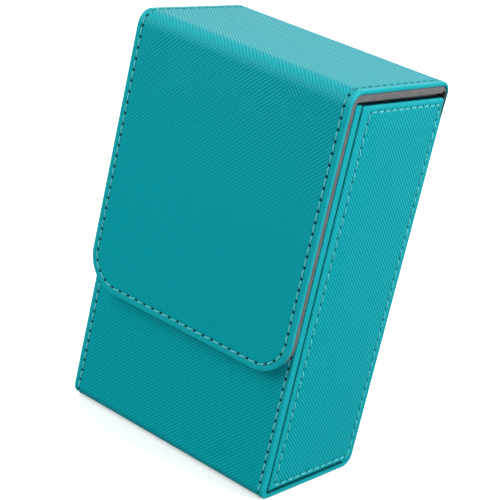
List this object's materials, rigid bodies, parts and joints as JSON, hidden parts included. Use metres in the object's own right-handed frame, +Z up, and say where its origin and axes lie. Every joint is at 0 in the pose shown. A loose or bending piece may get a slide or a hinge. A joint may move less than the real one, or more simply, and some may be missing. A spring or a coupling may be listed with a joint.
{
  "type": "card deck box",
  "caption": "Upright flip-lid card deck box in stitched textured PU leather, with a magnetic front flap and a microfibre-lined compartment.",
  "frame": {"origin": "middle of the box's footprint, on the surface that it stands on", "axes": "+Z up, the box's longest side; +Y from the front flap to the back, its shortest side; +X to the viewer's right when facing the flap"},
  "size_m": [0.0806, 0.0524, 0.1306],
  "materials": {
    "teal_leather": "satin, embossed with a fine diagonal cross weave",
    "grey_microfibre": "matte brushed microfibre",
    "grey_board": "plain grey book board",
    "teal_thread": "satin twisted polyester thread",
    "magnet_steel": "nickel plated"
  },
  "bodies": {
    "body": {"body_wrap_leather": "teal_leather", "left_side_leather": "teal_leather", "right_side_leather": "teal_leather", "front_board": "grey_board", "bottom_board": "grey_board", "back_board": "grey_board", "left_side_board": "grey_board", "right_side_board": "grey_board", "wrap_lining": "grey_microfibre", "left_side_lining": "grey_microfibre", "right_side_lining": "grey_microfibre", "front_magnet_left": "magnet_steel", "front_magnet_right": "magnet_steel", "wrap_stitching_left": "teal_thread", "wrap_stitching_right": "teal_thread", "side_stitching_left": "teal_thread", "side_stitching_right": "teal_thread"},
    "lid_top": {"lid_top_leather": "teal_leather", "lid_top_lining": "grey_microfibre", "lid_top_board": "grey_board", "lid_stitching_left": "teal_thread", "lid_stitching_right": "teal_thread"},
    "flap": {"flap_leather": "teal_leather", "flap_lining": "grey_microfibre", "flap_board": "grey_board", "flap_magnet_left": "magnet_steel", "flap_magnet_right": "magnet_steel", "flap_stitching": "teal_thread"}
  },
  "joints": [
    {"name": "lid_hinge", "type": "hinge", "parent": "body", "child": "lid_top", "pos_m": [0, 0.0265, 0.11985], "axis": [-1, 0, 0], "range_deg": [0, 170]},
    {"name": "flap_crease", "type": "hinge", "parent": "lid_top", "child": "flap", "pos_m": [0, -0.02495, 0.12935], "axis": [-1, 0, 0], "range_deg": [0, 85]}
  ]
}
